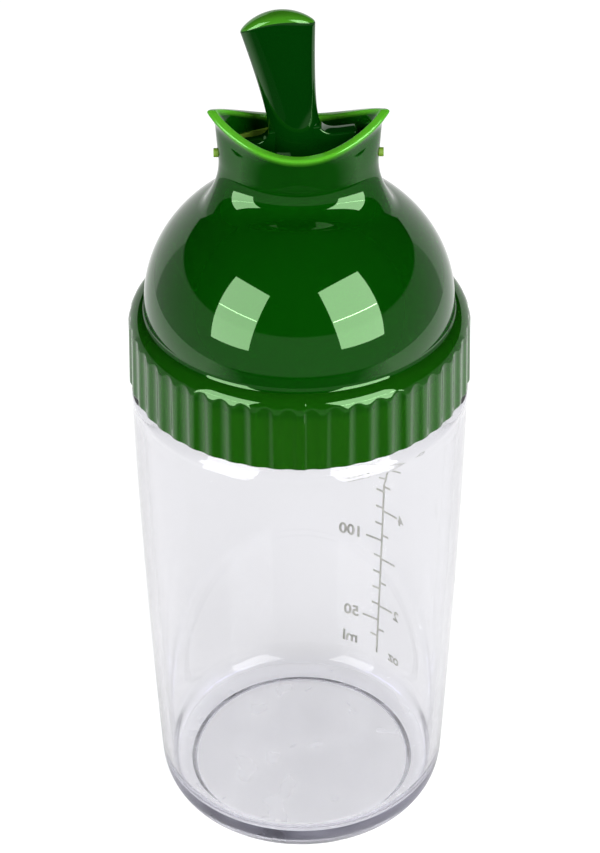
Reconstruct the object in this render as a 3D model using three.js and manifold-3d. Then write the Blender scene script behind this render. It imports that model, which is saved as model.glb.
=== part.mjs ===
// Salad dressing shaker: a clear screw-necked bottle, a domed green lid with an oval
// pouring neck, and a rocking lever whose oval plate opens one pouring lip or the other.
// Millimetres. +Z is up, the origin is the middle of the bottle's foot, the pouring lips
// point along +X and -X, and the lever rocks about a pivot that runs front to back.
import * as THREE from 'three';
import { ParametricGeometry } from 'three/addons/geometries/ParametricGeometry.js';
import { mergeVertices } from 'three/addons/utils/BufferGeometryUtils.js';
import Module from 'manifold-3d';

const wasm = await Module();
wasm.setup();

// Clearances
const seat_gap = 0.3; // between a seal and the piece that it seats on
const running_gap = 0.3; // between pieces that move past each other
const seal_fit = 0.1; // around a seal held in its groove

// Bottle
const bottle_wall = 1.9;
const base_thickness = 4.2;
const foot_ring_inset = 4.3; // foot ring's outer edge inside the heel
const foot_ring_width = 2.7;
const foot_recess = 1.3;
const foot_edge_radius = 0.6;
const heel_top_height = 6.4;
const heel_bulge = 0.4; // how far the heel's curve stays inside a square corner
const heel_taper = 2.6; // heel's radius below the body's
const body_radius = 30.9;
const body_height = 93.6;
const body_curve_power = 1.6;
const shoulder_round = 1.9;
const inner_heel_round = 4;
const inner_shoulder_rise = 4.5;
const neck_step = 3.5; // width of the shoulder, from the body in to the neck
const neck_wall = 1.8;
const neck_height = 11.5;
const neck_edge_round = 0.4;

// Screw thread
const thread_starts = 3;
const thread_lead = 9;
const thread_sweep = THREE.MathUtils.degToRad(150);
const thread_depth = 1.1;
const thread_root_height = 1.5;
const thread_crest_height = 0.7;
const thread_bedding = 0.6; // how far a ridge is sunk into the wall that carries it
const thread_run_in = 0.12; // share of the ridge's length over which it fades in
const thread_end_depth = 0.05; // share of the depth left at the ridge's ends
const thread_clearance = 0.4; // lid's bore outside the bottle's ridges
const lid_thread_lift = 1.3; // lowest lid ridge's middle above the skirt's bottom edge

// Lid collar
const skirt_clearance = 1.3; // skirt's bottom edge above the bottle's shoulder
const skirt_wall = 2.3;
const skirt_edge_round = 0.35;
const collar_height = 14.3;
const collar_taper = 0.3;
const collar_shoulder_round = 3.2;
const flute_count = 48;
const flute_depth = 0.6;
const flute_land = 0.5; // flat ridge left between two flutes

// Lid dome
const dome_step = 3.25; // dome's radius below the collar's
const dome_rise = 24.6;
const dome_wall = 2.1;
const dome_skirt = 1.1; // short straight band between the collar and the dome

// Pouring neck: semi-axes along X (sides) and Y (front and back)
const waist_half_length = 13.9;
const waist_half_width = 8;
const waist_height = 28.9; // above the dome's own centre
const neck_fillet = 3.2;
const fillet_reach_side = [5, 3]; // drops below the waist that shape the fillet's curve
const fillet_reach_front = [4, 2.6];
const fillet_spread_side = 0.6;
const fillet_spread_front = 0.4;
const neck_swell = 0.6; // extra half length between the waist and the lips
const lip_half_length = 15.9;
const lip_half_width = 8.3;
const lip_height = 38.4; // lip tips above the dome's own centre
const lip_drop = 5.2; // how far the rim dips at front and back
const lip_point = 1.5; // 1 is a plain oval, more draws the ends to a point
const lip_flare_height = 2.8;
const lip_curve_power = 1.5;
const spout_wall = 1.7;
const rim_bevel = 0.5;

// Seal in the neck
const seal_height = 3.4;
const seal_thickness = 1;
const seal_wall = 1.2; // lid wall left outside the seal's groove
const seal_nub_radius = 0.8;
const seal_nub_proud = 0.8;

// Lever
const pivot_height = 30.1; // above the dome's own centre
const lever_lean = THREE.MathUtils.degToRad(-8);
const plate_thickness = 3;
const plate_edge_round = 0.5;
const rib_height = 2;
const rib_thickness = 3;
const rib_setback = 0.7; // rib's end inside the plate's end
const rib_draft = 0.2;
const rib_fillet_pull = 0.6;
const trunnion_radius = 1;
const trunnion_reach = 1.5; // into each wall of the neck, past the seal
const socket_gap = 0.1;
const lever_length = 27; // pivot to the top of the cap
const lever_foot_half_width = 5.4;
const lever_waist_half_width = 4.4;
const lever_waist_height = 8;
const lever_cap_half_width = 6.4;
const lever_cap_power = 1.35;
const lever_cap_arch = 1.8;
const lever_half_thickness = 2.15;
const lever_foot_half_thickness = 2.6;
const lever_cap_round = 1.1;

// Bottle gasket
const gasket_thickness = 1.5;
const gasket_width = 2.9;

// Mesh fineness
const round_steps = 48;
const arc_steps = 5;

// Sizes that follow from the ones above
const shoulder_top = body_height + shoulder_round;
const neck_top = shoulder_top + neck_height;
const skirt_bottom = shoulder_top + skirt_clearance;
const collar_top = skirt_bottom + collar_height;
const dome_centre = collar_top + dome_skirt;
const waist_z = dome_centre + waist_height;
const lip_z = dome_centre + lip_height;
const dip_z = lip_z - lip_drop;
const pivot_z = dome_centre + pivot_height;
const neck_outer_radius = body_radius - neck_step;
const skirt_bore = neck_outer_radius + thread_depth + thread_clearance;
const collar_radius = skirt_bore + skirt_wall;
const dome_radius = collar_radius - dome_step;
const gasket_bottom = neck_top + seat_gap;
const ledge_z = gasket_bottom + gasket_thickness + seat_gap;
const heel_radius = body_radius - heel_taper;
const foot_ring_outer_radius = heel_radius - foot_ring_inset;
const foot_ring_inner_radius = foot_ring_outer_radius - foot_ring_width;
const seal_half_length = waist_half_length - seal_wall - seal_fit;
const seal_half_width = waist_half_width - seal_wall - seal_fit;
const plate_half_length = seal_half_length - seal_thickness - running_gap;
const plate_half_width = seal_half_width - seal_thickness - running_gap;
const trunnion_end = seal_half_width + trunnion_reach - seal_wall;
const lever_cap_base = lever_length - lever_cap_arch - lever_cap_round;

const v2 = (x, y) => new THREE.Vector2(x, y);

// A quarter or part arc about a centre, as profile points.
function arc(cx, cy, radius, from_deg, to_deg, steps = arc_steps) {
  const points = [];
  for (let i = 0; i <= steps; i++) {
    const angle = THREE.MathUtils.degToRad(from_deg + ((to_deg - from_deg) * i) / steps);
    points.push(v2(cx + radius * Math.cos(angle), cy + radius * Math.sin(angle)));
  }
  return points;
}

// A closed ring or a solid of revolution about Z. The profile runs outward at the foot
// and upward outside, in (radius, height).
function turned(profile, steps = round_steps) {
  const geometry = new THREE.LatheGeometry(profile, steps);
  geometry.rotateX(Math.PI / 2);
  return geometry;
}

// A THREE geometry as a manifold solid, and back.
function solid(geometry) {
  const bare = geometry.clone();
  bare.deleteAttribute('normal');
  bare.deleteAttribute('uv');
  const merged = mergeVertices(bare, 1e-4);
  const index = Array.from(merged.index.array);
  const faces = [];
  for (let i = 0; i < index.length; i += 3) {
    const [a, b, c] = index.slice(i, i + 3);
    if (a !== b && b !== c && a !== c) faces.push(a, b, c);
  }
  const mesh = new wasm.Mesh({
    numProp: 3,
    vertProperties: new Float32Array(merged.attributes.position.array),
    triVerts: new Uint32Array(faces),
  });
  const made = new wasm.Manifold(mesh);
  return made.volume() < 0 ? new wasm.Manifold(turnedOutward(mesh)) : made;
}

// The same mesh with every face turned round.
function turnedOutward(mesh) {
  const faces = new Uint32Array(mesh.triVerts);
  for (let i = 0; i < faces.length; i += 3) {
    [faces[i + 1], faces[i + 2]] = [faces[i + 2], faces[i + 1]];
  }
  return new wasm.Mesh({ numProp: 3, vertProperties: mesh.vertProperties, triVerts: faces });
}

function surface(manifold) {
  const mesh = manifold.getMesh();
  const geometry = new THREE.BufferGeometry();
  geometry.setAttribute('position', new THREE.BufferAttribute(mesh.vertProperties.slice(), 3));
  geometry.setIndex(new THREE.BufferAttribute(mesh.triVerts.slice(), 1));
  geometry.computeVertexNormals();
  return geometry;
}

// A closed surface from a function of the section position and the angle around Z.
function swept(point, section_steps, steps = round_steps) {
  const place = (u, v, target) => target.copy(point(u * section_steps, v * 2 * Math.PI));
  return new ParametricGeometry(place, section_steps, steps);
}

function cylinderAlongY(radius, length, steps) {
  return new THREE.CylinderGeometry(radius, radius, length, steps);
}

// One screw ridge: a bar bent along the helix, fading out at both ends. side is 1 where
// it stands outward from a neck, and -1 where it stands inward from a bore.
function threadRidge(wall_radius, side, middle_z, start_angle) {
  const ridge_steps = 24;
  const geometry = new THREE.BoxGeometry(1, 1, 1, ridge_steps, 1, 1);
  const position = geometry.attributes.position;
  for (let i = 0; i < position.count; i++) {
    const along = position.getX(i) + 0.5;
    const outward = position.getY(i) + 0.5;
    const fade = Math.min(1, Math.min(along, 1 - along) / thread_run_in + thread_end_depth);
    const reach = outward > 0.5 ? thread_depth * fade : -thread_bedding;
    const tall = outward > 0.5 ? thread_crest_height : thread_root_height;
    const angle = start_angle + along * thread_sweep;
    const radius = wall_radius + side * reach;
    const height = middle_z + (thread_lead * along * thread_sweep) / (2 * Math.PI);
    position.setXYZ(
      i,
      radius * Math.cos(angle),
      radius * Math.sin(angle),
      height + position.getZ(i) * tall,
    );
  }
  return solid(geometry);
}

function withThread(body, wall_radius, side, middle_z) {
  let threaded = body;
  for (let start = 0; start < thread_starts; start++) {
    const start_angle = (start * 2 * Math.PI) / thread_starts;
    threaded = threaded.add(threadRidge(wall_radius, side, middle_z, start_angle));
  }
  return threaded;
}

// Outer radius of the bottle's body, which swells quickly near the heel and slowly above.
function bodyRadius(z) {
  const down = Math.max(0, (body_height - z) / (body_height - heel_top_height));
  return body_radius - (body_radius - heel_radius) * down ** body_curve_power;
}

function bottle() {
  const body_rows = 8;
  const heel = new THREE.QuadraticBezierCurve(
    v2(foot_ring_outer_radius, 0),
    v2(heel_radius - heel_bulge, heel_bulge),
    v2(heel_radius, heel_top_height),
  );
  const floor_radius = bodyRadius(base_thickness + inner_heel_round) - bottle_wall;
  const neck_inner = neck_outer_radius - neck_wall;
  const inner_shoulder_z = shoulder_top - inner_shoulder_rise;
  const inner_shoulder = new THREE.CubicBezierCurve(
    v2(neck_inner, shoulder_top),
    v2(neck_inner, shoulder_top - inner_shoulder_rise / 3),
    v2(bodyRadius(inner_shoulder_z) - bottle_wall, shoulder_top - inner_shoulder_rise / 3),
    v2(bodyRadius(inner_shoulder_z) - bottle_wall, inner_shoulder_z),
  );
  const rim_z = neck_top - neck_edge_round;
  const profile = [
    v2(0, foot_recess),
    v2(foot_ring_inner_radius - foot_recess, foot_recess),
    v2(foot_ring_inner_radius + foot_edge_radius / 2, 0),
    ...heel.getPoints(6),
  ];
  for (let row = 1; row < body_rows; row++) {
    const z = heel_top_height + ((body_height - heel_top_height) * row) / body_rows;
    profile.push(v2(bodyRadius(z), z));
  }
  profile.push(
    ...arc(body_radius - shoulder_round, body_height, shoulder_round, 0, 90),
    v2(neck_outer_radius, shoulder_top),
    ...arc(neck_outer_radius - neck_edge_round, rim_z, neck_edge_round, 0, 90, 2),
    ...arc(neck_inner + neck_edge_round, rim_z, neck_edge_round, 90, 180, 2),
    ...inner_shoulder.getPoints(7),
  );
  for (let row = body_rows - 1; row > 1; row--) {
    const low = base_thickness + inner_heel_round;
    const z = low + ((inner_shoulder_z - low) * row) / body_rows;
    profile.push(v2(bodyRadius(z) - bottle_wall, z));
  }
  const heel_centre_z = base_thickness + inner_heel_round;
  const heel_centre_radius = floor_radius - inner_heel_round;
  profile.push(
    ...arc(heel_centre_radius, heel_centre_z, inner_heel_round, 0, -90),
    v2(0, base_thickness),
  );
  const middle_z = skirt_bottom + lid_thread_lift + thread_lead / thread_starts / 2;
  return surface(withThread(solid(turned(profile)), neck_outer_radius, 1, middle_z));
}

// The lid's shape is set by two sections that are blended around it: one through the
// pouring lips, one through the front. A row holds both, and how far it is drawn to a
// point at the lips.
function row(half_length, half_width, side_z, front_z = side_z, point = 1) {
  return { half_length, half_width, side_z, front_z, point };
}

function ringRow(point) {
  return row(point.x, point.x, point.y);
}

// Height on the dome, or inside it by inset, at a given radius.
function domeZ(radius, inset = 0) {
  const share = Math.min(1, radius / (dome_radius - inset));
  return dome_centre + (dome_rise - inset) * Math.sqrt(1 - share * share);
}

function domeRows(inset, end_half_length, end_half_width, steps) {
  const rows = [];
  const radius = dome_radius - inset;
  const side_end = Math.acos(end_half_length / radius);
  const front_end = Math.acos(end_half_width / radius);
  for (let i = 0; i <= steps; i++) {
    const side = radius * Math.cos((side_end * i) / steps);
    const front = radius * Math.cos((front_end * i) / steps);
    rows.push(row(side, front, domeZ(side, inset), domeZ(front, inset)));
  }
  return rows;
}

// Rows of the neck's wall, from its root on the dome up to the lip, moved inward by inset.
function neckRows(inset, root_half_length, root_half_width) {
  const waist_x = waist_half_length - inset;
  const waist_y = waist_half_width - inset;
  const side = new THREE.CubicBezierCurve(
    v2(root_half_length, domeZ(root_half_length, inset)),
    v2(waist_x + fillet_spread_side, waist_z - fillet_reach_side[0]),
    v2(waist_x, waist_z - fillet_reach_side[1]),
    v2(waist_x, waist_z),
  );
  const front = new THREE.CubicBezierCurve(
    v2(root_half_width, domeZ(root_half_width, inset)),
    v2(waist_y + fillet_spread_front, waist_z - fillet_reach_front[0]),
    v2(waist_y, waist_z - fillet_reach_front[1]),
    v2(waist_y, waist_z),
  );
  const rows = [];
  const fillet_steps = 4;
  for (let i = 1; i <= fillet_steps; i++) {
    const a = side.getPoint(i / fillet_steps);
    const b = front.getPoint(i / fillet_steps);
    rows.push(row(a.x, b.x, a.y, b.y));
  }
  const wall_steps = 5;
  for (let i = 1; i <= wall_steps; i++) {
    const rise = i / wall_steps;
    const side_z = waist_z + (lip_z - rim_bevel - waist_z) * rise;
    const front_z = waist_z + (dip_z - rim_bevel - waist_z) * rise;
    const flare = Math.max(0, 1 - (lip_z - side_z) / lip_flare_height) ** lip_curve_power;
    const swell = neck_swell * rise * (1 - flare);
    const half_length = waist_x + swell + (lip_half_length - waist_half_length) * flare;
    const half_width = waist_y + (lip_half_width - waist_half_width) * rise;
    const point = 1 + (lip_point - 1) * rise ** lip_curve_power;
    rows.push(row(half_length, half_width, side_z, front_z, point));
  }
  return rows;
}

function blend(side, front, share) {
  const side_rise = side - dome_centre;
  const front_rise = front - dome_centre;
  if (side_rise <= 0 || front_rise <= 0) return side * share + front * (1 - share);
  return dome_centre + Math.sqrt(side_rise ** 2 * share + front_rise ** 2 * (1 - share));
}

function sweptRows(rows) {
  const closed = [...rows, rows[0]];
  return swept((position, angle) => {
    const at = closed[Math.round(position)];
    const cos = Math.cos(angle);
    const sin = Math.sin(angle);
    return new THREE.Vector3(
      at.half_length * cos,
      at.half_width * Math.sign(sin) * Math.abs(sin) ** at.point,
      blend(at.side_z, at.front_z, cos * cos),
    );
  }, rows.length);
}

function lidShell() {
  const shoulder_centre = v2(
    collar_radius - collar_taper - collar_shoulder_round,
    collar_top - collar_shoulder_round,
  );
  const root_length = waist_half_length + neck_fillet;
  const root_width = waist_half_width + neck_fillet;
  const inner_length = root_length - spout_wall;
  const inner_width = root_width - spout_wall;
  const outer_neck = neckRows(0, root_length, root_width);
  const inner_neck = neckRows(spout_wall, inner_length, inner_width);
  const top = outer_neck[outer_neck.length - 1];
  const edge_z = skirt_bottom + skirt_edge_round;
  const rim = [rim_bevel, spout_wall - rim_bevel].map((inset) =>
    row(top.half_length - inset, top.half_width - inset, lip_z, dip_z, lip_point));
  const rows = [
    ...arc(skirt_bore + skirt_edge_round, edge_z, skirt_edge_round, 180, 270, 2).map(ringRow),
    ...arc(collar_radius - skirt_edge_round, edge_z, skirt_edge_round, 270, 360, 2).map(ringRow),
    ...arc(shoulder_centre.x, shoulder_centre.y, collar_shoulder_round, 0, 90, 6).map(ringRow),
    ringRow(v2(dome_radius, collar_top)),
    ...domeRows(0, root_length, root_width, 7),
    ...outer_neck,
    ...rim,
    ...inner_neck.reverse(),
    ...domeRows(dome_wall, inner_length, inner_width, 5).reverse(),
    ringRow(v2(dome_radius - dome_wall, ledge_z)),
    ringRow(v2(skirt_bore, ledge_z)),
  ];
  return solid(sweptRows(rows));
}

// Concave flutes around the collar. Each runs up until it breaks out on the shoulder.
function flutes() {
  const half_chord = (Math.PI * collar_radius) / flute_count - flute_land / 2;
  const cutter_radius = (half_chord ** 2 + flute_depth ** 2) / (2 * flute_depth);
  const cutter_steps = 16;
  const overrun = 1;
  const geometry = new THREE.CylinderGeometry(
    cutter_radius,
    cutter_radius,
    collar_height + 2 * overrun,
    cutter_steps,
  );
  geometry.rotateX(Math.PI / 2);
  geometry.rotateZ(Math.PI / cutter_steps);
  const centre = collar_radius - flute_depth + cutter_radius;
  const lean = Math.atan(collar_taper / collar_height);
  geometry.rotateY(-lean);
  geometry.translate(centre, 0, skirt_bottom + collar_height / 2);
  const cutter = solid(geometry);
  const turns = Array.from({ length: flute_count }, (_, i) => ((i + 0.5) * 360) / flute_count);
  return turns.map((turn) => cutter.rotate([0, 0, turn]));
}

// An upright oval cylinder, in half length, half width and height range.
function ovalBlock(half_length, half_width, low, high, steps = 30) {
  const outline = new THREE.Shape();
  outline.absellipse(0, 0, half_length, half_width, 0, 2 * Math.PI, false, 0);
  const geometry = new THREE.ExtrudeGeometry(outline, {
    depth: high - low,
    bevelEnabled: false,
    curveSegments: steps,
  });
  geometry.translate(0, 0, low);
  return solid(geometry);
}

function pivotBore(radius, reach) {
  const geometry = cylinderAlongY(radius, 2 * reach, 20);
  geometry.translate(0, 0, pivot_z);
  return solid(geometry);
}

function nubBore(radius, reach) {
  const geometry = new THREE.CylinderGeometry(radius, radius, 2 * reach, 20);
  geometry.rotateZ(Math.PI / 2);
  geometry.translate(0, 0, pivot_z);
  return solid(geometry);
}

function lid() {
  const groove = ovalBlock(
    seal_half_length + seal_fit,
    seal_half_width + seal_fit,
    pivot_z - seal_height / 2 - seal_fit,
    pivot_z + seal_height / 2 + seal_fit,
  );
  let body = lidShell();
  for (const cutter of flutes()) body = body.subtract(cutter);
  body = body
    .subtract(groove)
    .subtract(nubBore(seal_nub_radius + seal_fit, waist_half_length + 2))
    .subtract(pivotBore(trunnion_radius + socket_gap, trunnion_end + socket_gap));
  return surface(withThread(body, skirt_bore, -1, skirt_bottom + lid_thread_lift));
}

function lidGasket() {
  const outer = skirt_bore - seat_gap;
  const inner = outer - gasket_width;
  const top = gasket_bottom + gasket_thickness;
  const profile = [v2(inner, gasket_bottom), v2(outer, gasket_bottom), v2(outer, top), v2(inner, top)];
  profile.push(profile[0].clone());
  return surface(solid(turned(profile)));
}

// Oval seal in the neck's groove. Two nubs hold it through the wall under the lips, and
// two holes let the lever's trunnions past.
function seatSeal() {
  const low = pivot_z - seal_height / 2;
  const high = pivot_z + seal_height / 2;
  const nub_end = waist_half_length + seal_nub_proud;
  const hole_half_length = seal_half_length - seal_thickness;
  const hole_half_width = seal_half_width - seal_thickness;
  const ring = ovalBlock(seal_half_length, seal_half_width, low, high)
    .add(nubBore(seal_nub_radius, nub_end))
    .subtract(ovalBlock(hole_half_length, hole_half_width, low - 1, high + 1))
    .subtract(pivotBore(trunnion_radius + running_gap, seal_half_width + 1));
  return surface(ring);
}

// Half width of the lever at a height above its pivot.
function leverHalfWidth(height) {
  if (height <= lever_waist_height) {
    const down = (lever_waist_height - height) / lever_waist_height;
    return lever_waist_half_width + (lever_foot_half_width - lever_waist_half_width) * down ** 2;
  }
  const up = Math.min(1, (height - lever_waist_height) / (lever_cap_base - lever_waist_height));
  const growth = lever_cap_half_width - lever_waist_half_width;
  return lever_waist_half_width + growth * up ** lever_cap_power;
}

function leverHalfThickness(height) {
  const down = Math.max(0, (lever_waist_height - height) / lever_waist_height);
  return lever_half_thickness + (lever_foot_half_thickness - lever_half_thickness) * down ** 2;
}

// Upright lever about its pivot at the origin: a lens-shaped stem with an arched cap.
function leverStem() {
  const stem_rows = 12;
  const cap_rows = 4;
  const profile = [v2(0, 0), v2(1, 0)];
  for (let i = 1; i < stem_rows; i++) profile.push(v2(1, (lever_cap_base * i) / stem_rows));
  for (const point of arc(0, 0, 1, 0, 90, 3)) {
    const inset = lever_cap_round / lever_cap_half_width;
    profile.push(v2(1 - inset + inset * point.x, lever_cap_base + lever_cap_round * point.y));
  }
  const flat = profile[profile.length - 1];
  for (let i = 1; i <= cap_rows; i++) profile.push(v2(flat.x * (1 - i / cap_rows), flat.y));
  const geometry = turned(profile, 28);
  const position = geometry.attributes.position;
  const arched_height = lever_length - lever_cap_arch - lever_waist_height;
  for (let i = 0; i < position.count; i++) {
    const x = position.getX(i);
    const y = position.getY(i);
    const z = position.getZ(i);
    const near_cap = Math.max(0, (z - lever_waist_height) / arched_height);
    const arch = lever_cap_arch * (1 - x * x) * near_cap ** 3;
    position.setXYZ(i, x * leverHalfWidth(z), y * leverHalfThickness(z), z + arch);
  }
  return solid(geometry);
}

function roundedPlate(half_length, half_width, low, high, round) {
  const outline = new THREE.Shape();
  outline.absellipse(0, 0, half_length - round, half_width - round, 0, 2 * Math.PI, false, 0);
  const geometry = new THREE.ExtrudeGeometry(outline, {
    depth: high - low - 2 * round,
    bevelThickness: round,
    bevelSize: round,
    bevelSegments: 2,
    curveSegments: 18,
  });
  geometry.translate(0, 0, low + round);
  return solid(geometry);
}

// The rib along the plate's top, which sweeps up into the stem at its middle.
function leverRib() {
  const rib_end = plate_half_length - rib_setback;
  const rib_top = plate_thickness / 2 + rib_height;
  const fillet_top = rib_top + rib_height;
  const fillet_start = lever_foot_half_width + rib_height;
  const fillet_pull = lever_foot_half_width - rib_fillet_pull;
  const outline = new THREE.Shape();
  outline.moveTo(-rib_end, 0);
  outline.lineTo(rib_end, 0);
  outline.lineTo(rib_end - rib_draft, rib_top);
  outline.lineTo(fillet_start, rib_top);
  outline.quadraticCurveTo(fillet_pull, rib_top, lever_waist_half_width, fillet_top);
  outline.lineTo(-lever_waist_half_width, fillet_top);
  outline.quadraticCurveTo(-fillet_pull, rib_top, -fillet_start, rib_top);
  outline.lineTo(rib_draft - rib_end, rib_top);
  outline.closePath();
  const geometry = new THREE.ExtrudeGeometry(outline, {
    depth: rib_thickness,
    bevelEnabled: false,
    curveSegments: 8,
  });
  geometry.rotateX(Math.PI / 2);
  geometry.translate(0, rib_thickness / 2, 0);
  return solid(geometry);
}

function lever() {
  const half = plate_thickness / 2;
  const plate = roundedPlate(plate_half_length, plate_half_width, -half, half, plate_edge_round);
  const trunnions = solid(cylinderAlongY(trunnion_radius, 2 * trunnion_end, 20));
  return surface(plate.add(leverRib()).add(leverStem()).add(trunnions));
}

const clear_plastic = new THREE.MeshStandardMaterial({
  color: '#e6e6ec',
  roughness: 0.06,
  metalness: 0,
  transparent: true,
  opacity: 0.35,
});
const green_plastic = new THREE.MeshStandardMaterial({ color: '#0f7a0c', roughness: 0.12 });
const dark_green_plastic = new THREE.MeshStandardMaterial({ color: '#0b4f0a', roughness: 0.12 });
const soft_seal = new THREE.MeshStandardMaterial({ color: '#d9dde0', roughness: 0.6 });
const lime_seal = new THREE.MeshStandardMaterial({ color: '#b4be28', roughness: 0.5 });

function piece(name, geometry, material) {
  const mesh = new THREE.Mesh(geometry, material);
  mesh.name = name;
  return mesh;
}

const shaker = new THREE.Group();
shaker.add(
  piece('bottle', bottle(), clear_plastic),
  piece('lid', lid(), green_plastic),
  piece('lid_gasket', lidGasket(), soft_seal),
  piece('seat_seal', seatSeal(), lime_seal),
);

const lever_group = new THREE.Group();
lever_group.position.set(0, 0, pivot_z);
lever_group.rotation.y = lever_lean;
lever_group.add(piece('lever', lever(), dark_green_plastic));
shaker.add(lever_group);

export default shaker;
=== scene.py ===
"""Salad dressing shaker: looks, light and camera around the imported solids.

Millimetres in the code below, metres in Blender. +Z is up, the pouring lips point along
+X and -X, and the front, towards the camera, is -Y.
"""
import math

import bmesh
import bpy
import numpy as np
from mathutils import Matrix, Vector


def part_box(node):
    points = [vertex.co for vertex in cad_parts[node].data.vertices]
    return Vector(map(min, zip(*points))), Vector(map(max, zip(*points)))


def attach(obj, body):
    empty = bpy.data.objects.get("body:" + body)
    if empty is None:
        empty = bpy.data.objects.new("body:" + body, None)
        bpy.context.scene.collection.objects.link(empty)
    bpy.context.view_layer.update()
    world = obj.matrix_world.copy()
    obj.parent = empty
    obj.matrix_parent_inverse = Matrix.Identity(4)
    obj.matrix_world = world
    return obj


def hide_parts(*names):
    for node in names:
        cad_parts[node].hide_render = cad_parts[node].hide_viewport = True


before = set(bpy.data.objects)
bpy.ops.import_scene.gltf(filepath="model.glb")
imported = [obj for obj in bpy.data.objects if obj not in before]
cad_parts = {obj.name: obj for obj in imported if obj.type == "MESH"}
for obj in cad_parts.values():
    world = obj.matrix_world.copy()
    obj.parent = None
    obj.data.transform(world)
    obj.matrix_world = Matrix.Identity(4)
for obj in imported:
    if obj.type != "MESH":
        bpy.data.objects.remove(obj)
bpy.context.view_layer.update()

MM = 0.001

# Bottle
BOTTLE_WALL = 1.9
BASE_THICKNESS = 4.2
FOOT_RING_INNER = 21.3
FOOT_RING_WIDTH = 2.7
FOOT_RECESS = 1.3
HEEL_TOP = 6.4
HEEL_RADIUS = 28.3
BODY_RADIUS = 30.9
BODY_HEIGHT = 93.6
BODY_CURVE_POWER = 1.6
SHOULDER_ROUND = 1.9
INNER_HEEL_ROUND = 4.0
INNER_SHOULDER_RISE = 3.4
NECK_OUTER = 27.4
NECK_WALL = 1.8
NECK_HEIGHT = 11.5
NECK_EDGE_ROUND = 0.4

# Screw thread
THREAD_STARTS = 3
THREAD_LEAD = 9.0
THREAD_SWEEP = math.radians(150)
THREAD_DEPTH = 1.1
THREAD_ROOT_HEIGHT = 1.5
THREAD_CREST_HEIGHT = 0.7
THREAD_RUN_IN = 0.12
LID_THREAD_LIFT = 1.3
RUNNING_GAP = 0.3

# Lid collar
SKIRT_CLEARANCE = 1.3
SKIRT_WALL = 2.3
SKIRT_EDGE_ROUND = 0.35
COLLAR_HEIGHT = 14.3
COLLAR_TAPER = 0.3
COLLAR_SHOULDER_ROUND = 3.2
FLUTE_COUNT = 48
FLUTE_DEPTH = 0.6
FLUTE_LAND = 0.5
EDGE_SOFTNESS = 0.12
SEAM_PROUD = 0.12
SEAM_ANGLE = math.radians(-90 + 1.3)  # just right of the front

# Lid dome
DOME_RADIUS = 27.95
DOME_RISE = 24.6
DOME_WALL = 2.1
DOME_SKIRT = 1.1

# Pouring neck, half length along X and half width along Y
WAIST = (13.9, 7.6)
WAIST_HEIGHT = 28.9
FRONT_WAIST_DROP = 2.6
NECK_FILLET = (3.2, 4.9)
LIP = (15.9, 8.3)
LIP_HEIGHT = 38.4
LIP_DROP = 5.2
LIP_POINT = 1.5
LIP_FLARE_HEIGHT = 2.8
SPOUT_WALL = 1.7
RIM_ROUND = 0.4

# How much painted glow lightens the plastic's colour, from 0 to 1: painted light through the thin rim,
# and painted light falling on the collar and on the lever's cap top
COLLAR_GLOW = 0.09
RIM_GLOW = 1.0
RIM_FLANK_GLOW = 0.9
CAP_GLOW = 0.5

# Seal in the neck
SEAL_THICKNESS = 1.0
SEAL_WALL = 1.2
SEAL_FIT = 0.1

# Lever
PIVOT_HEIGHT = 30.1
LEVER_LEAN = math.radians(-8)
PLATE_THICKNESS = 3.0
PLATE_ROUND = 0.5
RIB_HEIGHT = 2.0
RIB_THICKNESS = 3.0
RIB_SETBACK = 0.7
LEVER_LENGTH = 27.0
LEVER_FOOT = (5.4, 2.6)
LEVER_WAIST = (4.4, 2.15)
LEVER_WAIST_HEIGHT = 8.0
LEVER_CAP_HALF_WIDTH = 6.4
LEVER_CAP_ARCH = 1.8
LEVER_CAP_ROUND = 0.7
LEVER_CAP_PILLOW = 1.0

# Heights that follow
SHOULDER_TOP = BODY_HEIGHT + SHOULDER_ROUND
NECK_TOP = SHOULDER_TOP + NECK_HEIGHT
SKIRT_BOTTOM = SHOULDER_TOP + SKIRT_CLEARANCE
COLLAR_TOP = SKIRT_BOTTOM + COLLAR_HEIGHT
DOME_CENTRE = COLLAR_TOP + DOME_SKIRT
WAIST_Z = DOME_CENTRE + WAIST_HEIGHT
FRONT_WAIST_Z = WAIST_Z - FRONT_WAIST_DROP
LIP_Z = DOME_CENTRE + LIP_HEIGHT
DIP_Z = LIP_Z - LIP_DROP
PIVOT_Z = DOME_CENTRE + PIVOT_HEIGHT
SKIRT_BORE = NECK_OUTER + THREAD_DEPTH + RUNNING_GAP + 0.1
COLLAR_RADIUS = SKIRT_BORE + SKIRT_WALL
LEDGE_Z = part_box("lid_gasket")[1][2] / MM + RUNNING_GAP
SEAL_HALF = (WAIST[0] - SEAL_WALL - SEAL_FIT, WAIST[1] - SEAL_WALL - SEAL_FIT)
PLATE_HALF = tuple(half - SEAL_THICKNESS - RUNNING_GAP for half in SEAL_HALF)


# Meshes

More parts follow.
